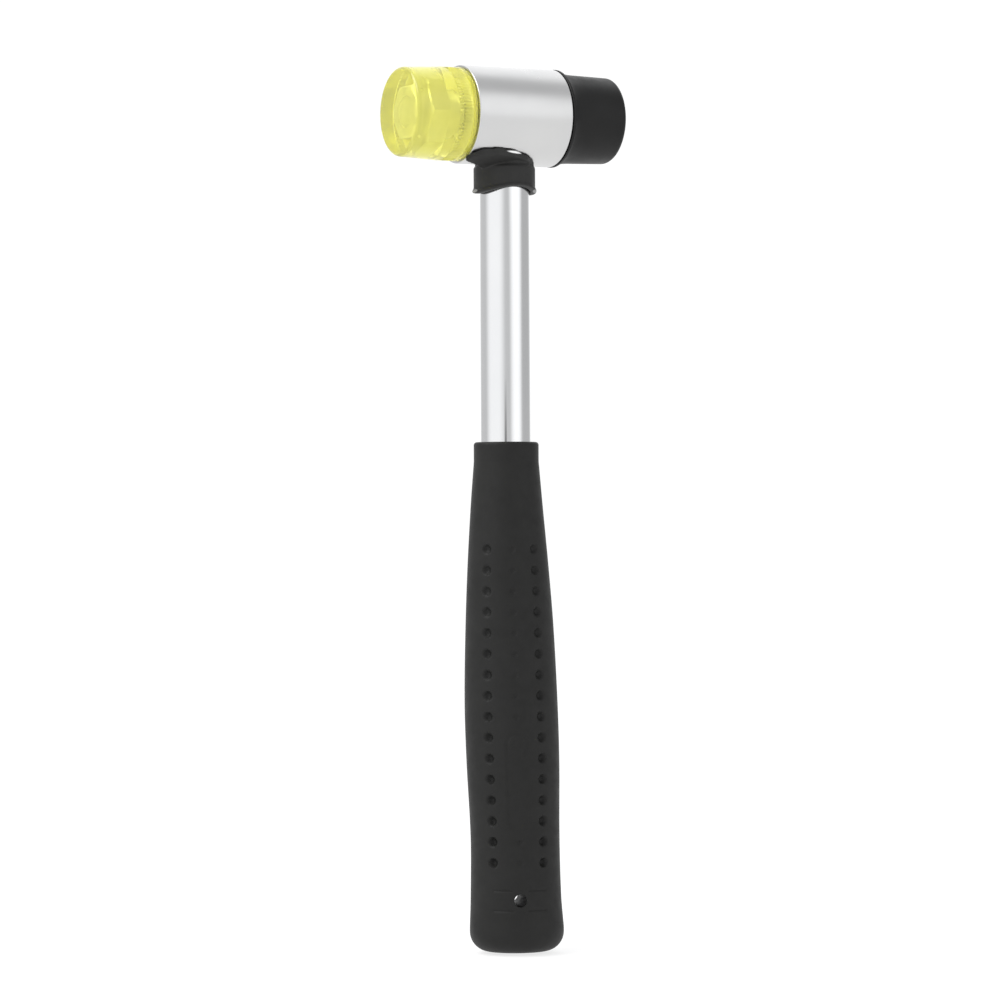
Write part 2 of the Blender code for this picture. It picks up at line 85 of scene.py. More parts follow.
# painted highlights on the boot's rubber, pale patches for the white glint under the pad's arc and
# the glints on the lip's two corners: middle, half lengths, tilt in degrees, brightness
BOOT_PAINTED_GLINTS = (
    ((-1.3 * MM, -9.4 * MM, BARREL_BOTTOM + 2.6 * MM), (2.9 * MM, 3 * MM, 0.36 * MM), 5, 0.95),
    ((-7.6 * MM, 1.4 * MM, BOOT_BOTTOM - 0.2 * MM), (0.9 * MM, 3 * MM, 0.5 * MM), 0, 0.3),
    ((6.7 * MM, -4.2 * MM, BOOT_BOTTOM - 0.2 * MM), (0.8 * MM, 3 * MM, 0.5 * MM), 0, 0.3),
)

# ---- grip ------------------------------------------------------------------------------
GRIP_TURN = math.radians(-21.6)
# height, half width and sideways lean of the middle, in mm
GRIP_SECTIONS = (
    (6.0, 12.05, 2.2), (14.2, 11.6, 2.0), (29.5, 11.4, 1.85), (48.7, 11.9, 1.4),
    (64.0, 11.9, 1.0), (83.2, 11.25, 0.7), (98.5, 10.35, 0.4), (113.9, 9.2, 0.15),
    (125.0, 8.3, 0.1),
)
GRIP_END_R = 5.0 * MM           # rounding at the bottom
GRIP_TOP_R = 0.8 * MM           # and at the top
GRIP_SEGMENTS = 216
GRIP_ROW = 0.36 * MM
DIMPLE_LEFT, DIMPLE_RIGHT = math.radians(-39.0), math.radians(36.0)
DIMPLE_ROWS, DIMPLE_PITCH, DIMPLE_TOP = 16, 5.3 * MM, 102.7 * MM
DIMPLE_R, DIMPLE_DEPTH = 1.3 * MM, 0.85 * MM
DIMPLE_DEEPENING = 0.035 * MM   # added with every row further down
MIDDLE_DIMPLE_R, MIDDLE_DIMPLE_DEPTH = 0.975 * MM, 0.35 * MM
PANEL_Z, PANEL_W, PANEL_H = 43.8 * MM, 6.4 * MM, 25.6 * MM
PANEL_STRAIGHT = (PANEL_H - PANEL_W) / 2
PANEL_DEPTH, PANEL_EDGE = 0.2 * MM, 0.35 * MM
RING_Z = PANEL_Z + PANEL_STRAIGHT - 0.1 * MM
RING_OUTER, RING_INNER = 2.5 * MM, 1.45 * MM
RING_RISE, RING_EDGE = 0.18 * MM, 0.25 * MM
LINE_HEIGHTS = (16.2 * MM, 11.1 * MM)
LINE_FROM, LINE_TO = 1.9 * MM, 7.4 * MM
LINE_DEPTH, LINE_HALF = 0.2 * MM, 0.28 * MM
HOLE_Z, HOLE_R = 13.7 * MM, 1.65 * MM
HOLE_TILT = math.radians(88.9)  # 90 degrees would be level

# ---- studio ----------------------------------------------------------------------------
CAMERA_AZIMUTH = math.radians(-28.1)
CAMERA_HEIGHT = 115.2 * MM
CAMERA_DISTANCE = 0.9815
CAMERA_ASIDE = 1.55 * MM
CAMERA_ROLL = math.radians(-0.307)
CAMERA_LENS = 138.24
SOFTBOX_AZIMUTH, SOFTBOX_ELEVATION = -95, 50
SOFTBOX_DISTANCE, SOFTBOX_SIZE, SOFTBOX_POWER = 1.2, 0.8, 9.2
SOFTBOX_AIM_Z = 130 * MM
FLOOR_GLOW = 0.76
BACKDROP_LEVEL = 1.05
ROOM_LEVEL = 0.67
# soft panels of the room: azimuth, elevation, inner and outer half angle, added brightness
ROOM_PANELS = (
    (-77, 12, 16, 55, 0.50),    # big panel on the left
    (25, 16, 10, 38, 0.68),     # panel on the right
    (150, 38, 18, 52, 0.70),    # panel behind
    (84, 0, 20, 46, -0.12),     # darker wall on the right
)
MARK_TURN = CAMERA_AZIMUTH      # the side that the tube's painted dark reflection and the boot's painted highlights are on


def clamp(value):
    return min(max(value, 0.0), 1.0)


# ---- materials -------------------------------------------------------------------------
class Nodes:
    """A material, with short ways to build its node tree."""

    def __init__(self, name):
        self.mat = bpy.data.materials.new(name)
        self.mat.use_nodes = True
        self.tree = self.mat.node_tree
        self.shader = self.tree.nodes["Principled BSDF"]
        self.place = self.new("ShaderNodeTexCoord").outputs["Object"]

    def new(self, kind, **props):
        node = self.tree.nodes.new(kind)
        for key, value in props.items():
            setattr(node, key, value)
        return node

    def link(self, out, into):
        self.tree.links.new(out, into)

    def set(self, **values):
        """Fix inputs of the shader."""
        for key, value in values.items():
            self.shader.inputs[key.replace("_", " ")].default_value = value

    def feed(self, name, out):
        """Drive an input of the shader."""
        self.link(out, self.shader.inputs[name])

    def mapped(self, kind="POINT", **values):
        """Object coordinates through a mapping node."""
        node = self.new("ShaderNodeMapping", vector_type=kind)
        for key, value in values.items():
            node.inputs[key].default_value = value
        self.link(self.place, node.inputs["Vector"])
        return node.outputs["Vector"]

    def noise(self, scale, detail, stretch=(1, 1, 1), distortion=0.0):
        node = self.new("ShaderNodeTexNoise")
        for key, value in (("Scale", scale), ("Detail", detail), ("Roughness", 0.55),
                           ("Distortion", distortion)):
            node.inputs[key].default_value = value
        self.link(self.mapped(Scale=stretch), node.inputs["Vector"])
        return node.outputs["Fac"]

    def ramp(self, factor, low, high, start=0.3, stop=0.7):
        """Colour that goes from low to high while the factor goes from start to stop."""
        node = self.new("ShaderNodeValToRGB")
        for point, place, color in zip(node.color_ramp.elements, (start, stop), (low, high)):
            point.position = place
            point.color = (*color, 1)
        self.link(factor, node.inputs["Fac"])
        return node.outputs["Color"]

    def span(self, factor, start, stop, low, high):
        """Number that goes from low to high while the factor goes from start to stop."""
        node = self.new("ShaderNodeMapRange")
        for key, value in (("From Min", start), ("From Max", stop), ("To Min", low),
                           ("To Max", high)):
            node.inputs[key].default_value = value
        self.link(factor, node.inputs["Value"])
        return node.outputs["Result"]

    def uneven(self, noise, middle, reach):
        """Number that wanders round its middle with the noise."""
        return self.span(noise, 0.3, 0.7, middle - reach, middle + reach)

    def times(self, first, second):
        node = self.new("ShaderNodeMath", operation="MULTIPLY")
        self.link(first, node.inputs[0])
        self.link(second, node.inputs[1])
        return node.outputs["Value"]

    def blend(self, factor, first, second):
        """Mix of a colour output and a fixed colour."""
        node = self.new("ShaderNodeMix", data_type="RGBA")
        factor_in, first_in, second_in, color_out = 0, 6, 7, 2
        self.link(factor, node.inputs[factor_in])
        self.link(first, node.inputs[first_in])
        node.inputs[second_in].default_value = (*second, 1)
        return node.outputs[color_out]

    def bump(self, height, distance, strength, under=None):
        node = self.new("ShaderNodeBump")
        node.inputs["Distance"].default_value = distance
        node.inputs["Strength"].default_value = strength
        self.link(height, node.inputs["Height"])
        if under:
            self.link(under, node.inputs["Normal"])
        return node.outputs["Normal"]


def satin_metal():
    """Barrel: satin plated steel with a very fine blasted grain and faint turning marks."""
    n = Nodes("satin_nickel_finish")
    n.set(Metallic=1.0)
    n.feed("Base Color", n.ramp(n.noise(60.0, 4.0), (0.60, 0.60, 0.60), (0.63, 0.63, 0.625)))
    n.feed("Roughness", n.uneven(n.noise(150.0, 3.0), 0.30, 0.03))
    grain = n.bump(n.noise(3600.0, 2.0), 0.0012 * MM, 0.4)
    turned = n.noise(1.0, 2.0, stretch=(2600.0, 30.0, 30.0))
    n.feed("Normal", n.bump(turned, 0.0010 * MM, 0.3, grain))
    return n.mat


def painted_dark_reflection(n):
    """Painted dark reflection on the tube: 1 on a short upright line above the grip, 0 elsewhere.
    """
    axes = n.new("ShaderNodeSeparateXYZ")
    n.link(n.mapped("TEXTURE", Rotation=(0, 0, MARK_TURN)), axes.inputs["Vector"])
    aside = n.new("ShaderNodeMath", operation="ABSOLUTE")
    n.link(axes.outputs["X"], aside.inputs[0])
    near = n.span(aside.outputs["Value"], 0.12 * MM, 0.4 * MM, 1.0, 0.0)
    front = n.span(axes.outputs["Y"], -1 * MM, -2 * MM, 0.0, 1.0)
    low = n.span(axes.outputs["Z"], GRIP_TOP, GRIP_TOP + 17 * MM, 0.75, 0.0)
    return n.times(n.times(near, front), low)


def chrome():
    """Tube: polished chrome with a trace of draw lines and a painted dark reflection line above
    the grip.
    """
    n = Nodes("chrome_finish")
    n.set(Metallic=1.0)
    plate = n.ramp(n.noise(45.0, 3.0), (0.755, 0.76, 0.765), (0.785, 0.787, 0.79))
    # painted reflection: the dark line is mixed into the chrome's base colour
    n.feed("Base Color", n.blend(painted_dark_reflection(n), plate, (0.1, 0.1, 0.1)))
    n.feed("Roughness", n.uneven(n.noise(1.0, 3.0, stretch=(900.0, 900.0, 12.0)), 0.115, 0.025))
    drawn = n.noise(1.0, 2.0, stretch=(1500.0, 1500.0, 10.0))
    n.feed("Normal", n.bump(drawn, 0.002 * MM, 0.25))
    return n.mat


def machined(name, shade, roughness, warm=0.0):
    """Inner steel pieces: turned or rolled, with a mottled zinc or bare finish."""
    n = Nodes(name)
    n.set(Metallic=1.0)
    low = (shade * 0.88, shade * 0.9, shade * (0.88 - warm))
    high = (shade, shade, shade * (1.0 - warm))
    n.feed("Base Color", n.ramp(n.noise(240.0, 5.0), low, high))
    n.feed("Roughness", n.uneven(n.noise(500.0, 3.0), roughness, 0.07))
    n.feed("Normal", n.bump(n.noise(3500.0, 3.0), 0.01 * MM, 0.5))
    return n.mat


def yellow_resin():
    """Clear face: tinted cellulose resin, slightly milky, with soft flow in it."""
    n = Nodes("yellow_resin_finish")
    n.set(Metallic=0.0, IOR=1.46, Transmission_Weight=0.72, Specular_IOR_Level=0.5)
    flow = n.noise(120.0, 3.0, distortion=0.6)
    n.feed("Base Color", n.ramp(flow, (0.995, 0.955, 0.19), (1.0, 0.975, 0.24), 0.25, 0.75))
    n.feed("Roughness", n.uneven(n.noise(300.0, 3.0), 0.09, 0.03))
    n.feed("Normal", n.bump(n.noise(260.0, 2.0), 0.012 * MM, 0.35))
    return n.mat


def black_nylon():
    """Black face: hard moulded nylon with a low sheen and small scuff marks."""
    n = Nodes("black_nylon_finish")
    n.set(Metallic=0.0, IOR=1.5, Specular_IOR_Level=0.26)
    n.feed("Base Color", n.ramp(n.noise(80.0, 4.0), (0.0035,) * 3, (0.0065,) * 3, 0.3, 0.75))
    n.feed("Roughness", n.uneven(n.noise(220.0, 4.0), 0.46, 0.06))
    n.feed("Normal", n.bump(n.noise(2600.0, 3.0), 0.012 * MM, 0.45))
    return n.mat


def rubber(name, dark, light, roughness, grain, painted_glints=()):
    """Moulded rubber: matte, with a fine spark-eroded grain, and any painted highlights given as
    pale patches.
    """
    n = Nodes(name)
    n.set(Metallic=0.0, IOR=1.5, Specular_IOR_Level=0.31, Sheen_Weight=0.03,
          Sheen_Roughness=0.3)
    color = n.ramp(n.noise(90.0, 5.0), dark, light)
    # painted highlights: each glint is a pale patch mixed into the base colour
    for middle, halves, tilt, shade in painted_glints:
        reach = n.new("ShaderNodeVectorMath", operation="LENGTH")
        n.link(n.mapped("TEXTURE", Location=middle, Scale=halves,
                        Rotation=(0, math.radians(tilt), MARK_TURN)), reach.inputs[0])
        painted_glint_mask = n.span(reach.outputs["Value"], 0.65, 1.0, 1.0, 0.0)
        color = n.blend(painted_glint_mask, color, (shade,) * 3)
    n.feed("Base Color", color)
    n.feed("Roughness", n.uneven(n.noise(350.0, 4.0), roughness, 0.06))
    fine = n.bump(n.noise(grain, 3.0), 0.02 * MM, 0.5)
    n.feed("Normal", n.bump(n.noise(420.0, 3.0), 0.03 * MM, 0.25, fine))
    return n.mat


# ---- mesh helpers ----------------------------------------------------------------------
def finish_mesh(name, bm, mat, place=Matrix.Identity(4), sharp=30.0):
    """Object with outward faces, smooth except at edges sharper than an angle."""
    bm.transform(place)
    if bm.calc_volume(signed=True) < 0:
        bmesh.ops.reverse_faces(bm, faces=bm.faces)
    mesh = bpy.data.meshes.new(name)
    bm.to_mesh(mesh)
    bm.free()
    obj = bpy.data.objects.new(name, mesh)
    bpy.context.scene.collection.objects.link(obj)
    if mat:
        mesh.materials.append(mat)
    mesh.shade_smooth()
    mesh.set_sharp_from_angle(angle=math.radians(sharp))
    return obj


def lathe(profile, segments):
    """Closed (radius, height) outline turned round Z; radius 0 is a pole."""
    bm = bmesh.new()
    turns = [2 * math.pi * i / segments for i in range(segments)]
    rings = []
    for radius, height in profile:
        around = turns if radius > 0 else [0.0]
        rings.append([bm.verts.new((radius * math.cos(t), radius * math.sin(t), height))
                      for t in around])
    if profile[0][0] > 0:
        rings.append(rings[0])
    for low, high in zip(rings, rings[1:]):
        for i in range(segments):
            j = (i + 1) % segments
            corners = (low[i % len(low)], low[j % len(low)], high[j % len(high)],
                       high[i % len(high)])
            bm.faces.new(list(dict.fromkeys(corners)))
    return bm


def stack(layers):
    """Closed solid over layers of points; all have the same count."""
    bm = bmesh.new()
    rings = [[bm.verts.new(point) for point in layer] for layer in layers]
    count = len(rings[0])
    for low, high in zip(rings, rings[1:]):
        for i in range(count):
            j = (i + 1) % count
            bm.faces.new((low[i], low[j], high[j], high[i]))
    bm.faces.new(list(reversed(rings[0])))
    bm.faces.new(rings[-1])
    return bm


def arc(middle_r, middle_z, radius, start, end, steps):
    """Points of an outline round a middle, from one angle in degrees to another."""
    turns = [math.radians(start + (end - start) * i / steps) for i in range(steps + 1)]
    return [(middle_r + radius * math.cos(t), middle_z + radius * math.sin(t)) for t in turns]


def on_head(x, side=1):
    """Place on the head's axis whose Z points along it, to +X (side 1) or to -X (side -1)."""
    return Matrix.Translation((x, 0, AXIS_Z)) @ Matrix.Rotation(side * math.pi / 2, 4, "Y")


def rod(radius, length, sides, place):
    """Plain cylinder to cut with."""
    bm = bmesh.new()
    bmesh.ops.create_cone(bm, cap_ends=True, segments=sides, radius1=radius, radius2=radius,
                          depth=length)
    return finish_mesh("rod", bm, None, place)


def apply_modifiers(obj):
    """Bake an object's modifiers into its mesh."""
    graph = bpy.context.evaluated_depsgraph_get()
    mesh = bpy.data.meshes.new_from_object(obj.evaluated_get(graph))
    old = obj.data
    obj.modifiers.clear()
    obj.data = mesh
    bpy.data.meshes.remove(old)


def boolean(target, cutter, operation):
    """Combine the cutter into the target and remove it."""
    modifier = target.modifiers.new(operation, "BOOLEAN")
    modifier.operation = operation
    modifier.solver = "EXACT"
    modifier.object = cutter
    apply_modifiers(target)
    bpy.data.objects.remove(cutter, do_unlink=True)


def done(obj, body, node):
    """Hand a finished piece to the frame in place of a CAD node."""
    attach(obj, body)
    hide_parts(node)


# ---- head ------------------------------------------------------------------------------
def build_barrel(mat):
    half = (BARREL_HI[0] - BARREL_LO[0]) / 2
    edge = 0.25 * MM
    profile = [(BORE_R, -half)]
    profile += arc(BARREL_R - edge, -half + edge, edge, -90, 0, 5)
    profile += arc(BARREL_R - edge, half - edge, edge, 0, 90, 5)
    profile += [(BORE_R, half)]
    return finish_mesh("head_barrel_body", lathe(profile, 192), mat,
                       on_head((BARREL_HI[0] + BARREL_LO[0]) / 2))


def build_tube(mat):
    edge = 0.2 * MM
    low, high = TUBE_LO[2], TUBE_HI[2]
    inner = TUBE_R - TUBE_WALL
    profile = [(inner, low)]
    profile += arc(TUBE_R - edge, low + edge, edge, -90, 0, 4)
    profile += [(TUBE_R, low + (high - low) * i / 8) for i in range(1, 8)]
    profile += arc(TUBE_R - edge, high - edge, edge, 0, 90, 4)
    profile += [(inner, high)]
    return finish_mesh("tube_body", lathe(profile, 160), mat)


def build_yellow_face(mat):
    """Clear block: hollow underside, narrow lip, fluted band, slight draft, rounded tip."""
    length = YELLOW_HI[0] - YELLOW_LO[0]
    tip_r, base_r, lip_r, hollow_r = 11.35 * MM, 11.85 * MM, 11.95 * MM, 11.0 * MM
    hollow, chamfer, edge = 0.9 * MM, 0.15 * MM, 1.2 * MM
    band_low, band_high = 1.0 * MM, 5.0 * MM
    draft_low, draft_high = band_high + 0.6 * MM, length - edge
    flutes, flute_depth = 80, 0.22 * MM
    profile = [(0, hollow), (hollow_r, hollow), (hollow_r + chamfer, 0), (lip_r - chamfer, 0),
               (lip_r, chamfer), (lip_r, 0.65 * MM), (base_r, band_low)]
    profile += [(base_r - 0.02 * MM, band_low + (band_high - band_low) * i / 6)
                for i in range(1, 7)]
    profile += [(base_r + 0.05 * MM, band_high + 0.25 * MM), (base_r + 0.02 * MM, draft_low)]
    profile += [(base_r + (tip_r - base_r) * i / 6, draft_low + (draft_high - draft_low) * i / 6)
                for i in range(1, 6)]
    profile += arc(tip_r - edge, draft_high, edge, 0, 90, 10)
    profile += [(tip_r * 0.6, length), (0, length)]
    bm = lathe(profile, 240)
    margin = 0.1 * MM
    for vert in bm.verts:
        radius = vert.co.xy.length
        if radius > base_r - margin and band_low + margin < vert.co.z < band_high + margin:
            wave = 0.5 - 0.5 * math.cos(flutes * math.atan2(vert.co.y, vert.co.x))
            vert.co.xy *= (radius - flute_depth * wave) / radius
    return finish_mesh("yellow_face_block", bm, mat, on_head(YELLOW_HI[0], -1),
                       sharp=25.0)


def build_black_face(mat):
    """Black block: hollow underside, thin flange, flared root, slight draft, rounded tip."""
    length = BLACK_HI[0] - BLACK_LO[0]
    tip_r, base_r, flange_r, hollow_r = 11.1 * MM, 11.35 * MM, 12.55 * MM, 11.3 * MM
    hollow, thick, flare, edge = 1.1 * MM, 0.7 * MM, 5.5 * MM, 1.4 * MM
    corner = 0.15 * MM
    spread = flange_r - corner - base_r
    profile = [(0, hollow), (hollow_r, hollow), (hollow_r, 0), (flange_r - 0.1 * MM, 0),
               (flange_r, 0.1 * MM)]
    profile += arc(flange_r - corner, thick - corner, corner, 0, 90, 3)
    profile += [(base_r + spread * (1 - math.sin(t)), thick + flare * (1 - math.cos(t)))
                for t in (math.radians(9 * i) for i in range(1, 11))]
    profile += arc(tip_r - edge, length - edge, edge, 0, 90, 10)
    profile += [(tip_r * 0.6, length), (0, length)]
    return finish_mesh("black_face_block", lathe(profile, 192), mat, on_head(BLACK_LO[0]),
                       sharp=25.0)


def build_bolt(name, side, base_x, face_length, mat):
    """M8 bolt: rolled thread, plain neck, chamfered hexagon head with a shallow recess."""
    root = BOLT_R - 0.6 * BOLT_PITCH
    top = face_length - BOLT_HEAD_DEPTH
    neck = top - BOLT_HEAD_H
    end = neck - BOLT_SHANK
    start, stop = end + 0.8 * MM, neck - 3.6 * MM
    rows = round((stop - start) / BOLT_PITCH * 10)
    segments = 48

    def plain(radius):
        return lambda angle: radius

    def thread(height):
        fade = clamp(min((height - start) / BOLT_PITCH, (stop - height) / BOLT_PITCH))

        def radius(angle):
            phase = ((height - start) / BOLT_PITCH - angle / (2 * math.pi)) % 1.0
            ridge = min(1.0, 1.25 * (1 - abs(2 * phase - 1)))
            return root + (BOLT_R - root) * ridge * fade
        return radius

    def hexagon(limit):
        def radius(angle):
            from_flat = (angle + math.pi / 6) % (math.pi / 3) - math.pi / 6
            return min(BOLT_ACROSS / 2 / math.cos(from_flat), BOLT_ACROSS * limit)
        return radius

    levels = [(end, plain(root - 0.5 * MM))]
    for i in range(rows + 1):
        height = start + (stop - start) * i / rows
        levels.append((height, thread(height)))
    levels += [(stop + 0.3 * MM, plain(BOLT_R)), (neck, plain(BOLT_R)), (neck, hexagon(0.47)),
               (neck + 0.15 * MM, hexagon(0.575)), (top - 0.7 * MM, hexagon(0.575)),
               (top - 0.3 * MM, hexagon(0.53)), (top, hexagon(0.475)), (top, plain(4.1 * MM)),
               (top - 0.5 * MM, plain(3.8 * MM))]
    turns = [2 * math.pi * i / segments for i in range(segments)]
    bm = stack([[(radius(t) * math.cos(t), radius(t) * math.sin(t), height) for t in turns]
                for height, radius in levels])
    return finish_mesh(name, bm, mat, on_head(base_x, side), sharp=32.0)


# ---- boot ------------------------------------------------------------------------------
def build_skirt(mat):
    """Skirt round the tube: a neck groove, and a rolled lip that arches front and back."""
    bottom, shoulder = BOOT_BOTTOM - LIP_DROP, BOOT_BOTTOM + 5.7 * MM
    top = BARREL_BOTTOM + 2.8 * MM
    roll, corner = 0.45 * MM, 0.3 * MM
    profile = [(0, bottom), (SKIRT_R - 0.3 * MM, bottom)]
    profile += arc(LIP_R - roll, bottom + roll, roll, -80, 60, 6)
    profile += [(SKIRT_R, bottom + 1.3 * MM), (SKIRT_R, bottom + 3.0 * MM)]
    profile += arc(SKIRT_R - corner, shoulder, corner, 0, 70, 3)
    profile += [(SKIRT_R - 0.62 * MM, shoulder + 0.9 * MM),
                (SKIRT_R - 0.5 * MM, shoulder + 1.6 * MM),
                (SKIRT_R, shoulder + 2.4 * MM), (SKIRT_R, top), (0, top)]
    bm = lathe(profile, 96)
    for vert in bm.verts:
        if vert.co.z < shoulder and vert.co.xy.length > TUBE_R / 2:
            front = vert.co.y / vert.co.xy.length
            fade = clamp((shoulder - vert.co.z) / (shoulder - bottom))
            vert.co.z += LIP_ARCH * front * front * fade
    return finish_mesh("neck_boot_body", bm, mat)


def build_pad():
    """Pad: its outline pushed up, kept where it lies within a thickness of the barrel."""
    left, right = BARREL_LO[0] - 1.2 * MM, BARREL_HI[0] - 3.0 * MM
    half = [Vector(point) * BARREL_R for point in PAD_OUTLINE]
    outline = [(min(max(p.x, left), right), p.y) for p in half + [-p for p in half]]
    low, high = BOOT_BOTTOM + 4.6 * MM, BARREL_BOTTOM + 4.6 * MM
    pad = finish_mesh("pad", stack([[(x, y, z) for x, y in outline] for z in (low, high)]), None)
    wrap = rod(BARREL_R + BOOT_GAP + PAD_WRAP, 60 * MM, 128, on_head(0))
    boolean(pad, wrap, "INTERSECT")
    return pad


def build_boot(mat):
    """Soft rubber boot: skirt and pad in one, cleared for the barrel and the tube."""
    boot = build_skirt(mat)
    boolean(boot, build_pad(), "UNION")
    boolean(boot, rod(BARREL_R + BOOT_GAP, 80 * MM, 128, on_head(0)), "DIFFERENCE")
    boolean(boot, rod(TUBE_R + BOOT_GAP, 40 * MM, 96,
                      Matrix.Translation((0, 0, BOOT_BOTTOM + 17.1 * MM))), "DIFFERENCE")
    soft = boot.modifiers.new("soft", "REMESH")
    soft.mode = "VOXEL"
    soft.voxel_size = 0.22 * MM
    smooth = boot.modifiers.new("smooth", "SMOOTH")
    smooth.factor = 0.5
    smooth.iterations = 3
    apply_modifiers(boot)
    boot.data.materials.clear()
    boot.data.materials.append(mat)
    boot.data.shade_smooth()
    return boot


# ---- grip ------------------------------------------------------------------------------
def smooth_between(keys, place):
    """Values at a place on a smooth curve through (place, *values) keys."""
    place = min(max(place, keys[0][0]), keys[-1][0])
    i = next(n for n in range(len(keys) - 1) if place <= keys[n + 1][0])
    a, b = keys[i], keys[i + 1]
    before, after = keys[max(i - 1, 0)], keys[min(i + 2, len(keys) - 1)]
    t = (place - a[0]) / (b[0] - a[0])
    values = []
    for n in range(1, len(a)):
        slope_a = (b[n] - before[n]) / (b[0] - before[0]) * (b[0] - a[0])
        slope_b = (after[n] - a[n]) / (after[0] - a[0]) * (b[0] - a[0])
        values.append((2 * t**3 - 3 * t**2 + 1) * a[n] + (t**3 - 2 * t**2 + t) * slope_a
                      + (3 * t**2 - 2 * t**3) * b[n] + (t**3 - t**2) * slope_b)
    return values


def grip_section(height):
    """Half width, half depth and lean at a height; flattened low down, round at the top."""
    half, lean = (value * MM for value in smooth_between(GRIP_SECTIONS, height / MM))
    depth = half * (0.9 + 0.1 * clamp((height - 70 * MM) / (50 * MM)))
    end = max(0.0, GRIP_END_R - height)
    top = max(0.0, height - (GRIP_TOP - GRIP_TOP_R))
    inset = GRIP_END_R - math.sqrt(max(GRIP_END_R**2 - end**2, 0.0))
    inset += GRIP_TOP_R - math.sqrt(max(GRIP_TOP_R**2 - top**2, 0.0))
    return half - inset, depth - inset, lean


def dimple_sink(height, angle, mean_r):
    """Rows of bowls on both sides, and small ones up the middle away from the panel."""
    row = round((DIMPLE_TOP - height) / DIMPLE_PITCH)
    if not 0 <= row < DIMPLE_ROWS:
        return 0.0
    rise = height - (DIMPLE_TOP - row * DIMPLE_PITCH)
    deep = DIMPLE_DEPTH + row * DIMPLE_DEEPENING
    bowls = [(DIMPLE_LEFT, DIMPLE_R, deep), (DIMPLE_RIGHT, DIMPLE_R, deep)]
    if abs(height - PANEL_Z) >= PANEL_H / 2 + 2 * MM:
        bowls.append((0.0, MIDDLE_DIMPLE_R, MIDDLE_DIMPLE_DEPTH))
    sink = 0.0
    for middle, radius, depth in bowls:
        gap = math.hypot(rise, (angle - middle) * mean_r) / radius
        sink = max(sink, depth * min(1.0, 1.15 * (1 - gap * gap)))
    return sink


def panel_sink(height, across):
    """Shallow round-ended panel with a raised ring in its upper end."""
    beyond = max(abs(height - PANEL_Z) - PANEL_STRAIGHT, 0.0)
    inside = PANEL_W / 2 - math.hypot(across, beyond)
    out = math.hypot(across, height - RING_Z)
    ring = clamp((RING_OUTER - out) / RING_EDGE) - clamp((RING_INNER - out) / RING_EDGE)
    return PANEL_DEPTH * clamp(inside / PANEL_EDGE) - RING_RISE * ring


def line_sink(height, across):
    """Short lines on both sides, above and below the hang hole."""
    gap = min(abs(height - line) for line in LINE_HEIGHTS) / LINE_HALF
    if gap < 1 and LINE_FROM < abs(across) < LINE_TO:
        return LINE_DEPTH * (1 - gap * gap)
    return 0.0


def grip_ring(height):
    """Points round the grip at a height, sunk where the moulding has detail."""
    half, depth, lean = grip_section(height)
    mean_r = half * 0.35 + depth * 0.65
    ring = []
    for i in range(GRIP_SEGMENTS):
        turn = 2 * math.pi * i / GRIP_SEGMENTS
        out = Vector((math.sin(turn), -math.cos(turn), 0))
        front = out.y < 0
        angle = turn if front else math.pi - turn
        angle = (angle + math.pi) % (2 * math.pi) - math.pi
        sink = max(dimple_sink(height, angle, mean_r), line_sink(height, angle * mean_r))
        if front:
            sink = max(sink, panel_sink(height, angle * mean_r))
        radius = 1 / math.hypot(out.x / half, out.y / depth)
        ring.append(Vector((lean, 0, height)) + out * (radius - sink))
    return ring


def build_grip(mat):
    """Dimpled grip on the tube: fine rings of skin, a bore and a hang hole."""
    low, high = GRIP_END_R, GRIP_TOP - GRIP_TOP_R
    rows = round((high - low) / GRIP_ROW)
    heights = [0.0]
    heights += [GRIP_END_R * (1 - math.cos(math.radians(a))) for a in range(10, 91, 8)]
    heights += [low + (high - low) * i / rows for i in range(1, rows + 1)]
    heights += [high + GRIP_TOP_R * math.sin(math.radians(a)) for a in range(15, 91, 15)]
    turn = Matrix.Rotation(GRIP_TURN, 4, "Z")
    sharp = 40.0
    grip = finish_mesh("grip_skin", stack([grip_ring(height) for height in heights]), mat,
                       turn, sharp)
    bore_length = 140 * MM
    bore_middle = TUBE_LO[2] - 1.3 * MM + bore_length / 2
    boolean(grip, rod(TUBE_R + 0.15 * MM, bore_length, 128,
                      Matrix.Translation((0, 0, bore_middle))), "DIFFERENCE")
    lean = grip_section(HOLE_Z)[2]
    through = Matrix.Translation((lean, -10 * MM, HOLE_Z)) @ Matrix.Rotation(HOLE_TILT, 4, "X")
    boolean(grip, rod(HOLE_R, 60 * MM, 48, turn @ through), "DIFFERENCE")
    grip.data.set_sharp_from_angle(angle=math.radians(sharp))
    return grip


# ---- studio ----------------------------------------------------------------------------
def direction(azimuth, elevation):
    """Unit vector; azimuth 0 is -Y, positive towards +X."""
    a, e = math.radians(azimuth), math.radians(elevation)
    return Vector((math.sin(a) * math.cos(e), -math.cos(a) * math.cos(e), math.sin(e)))


def build_floor():
    """White sheet that glows softly, so that it has hardly any shadow."""
    n = Nodes("studio_floor")
    n.set(Roughness=0.9, Base_Color=(0.25, 0.25, 0.25, 1), Emission_Color=(1, 1, 1, 1),
          Emission_Strength=FLOOR_GLOW)
    bm = bmesh.new()
    bmesh.ops.create_circle(bm, cap_ends=True, segments=96, radius=4.0)
    floor = finish_mesh("floor", bm, n.mat, Matrix.Translation((0, 0, -0.5 * MM)))


def build_softbox():
    """Square light up on the left, aimed a little above the handle's middle."""
    light = bpy.data.lights.new("left_softbox", "AREA")
    light.shape = "SQUARE"
    light.size = SOFTBOX_SIZE
    light.energy = SOFTBOX_POWER
    softbox = bpy.data.objects.new("left_softbox", light)
    bpy.context.scene.collection.objects.link(softbox)
    out = direction(SOFTBOX_AZIMUTH, SOFTBOX_ELEVATION)
    softbox.location = Vector((0, 0, SOFTBOX_AIM_Z)) + out * SOFTBOX_DISTANCE
    softbox.rotation_euler = out.to_track_quat("Z", "Y").to_euler()


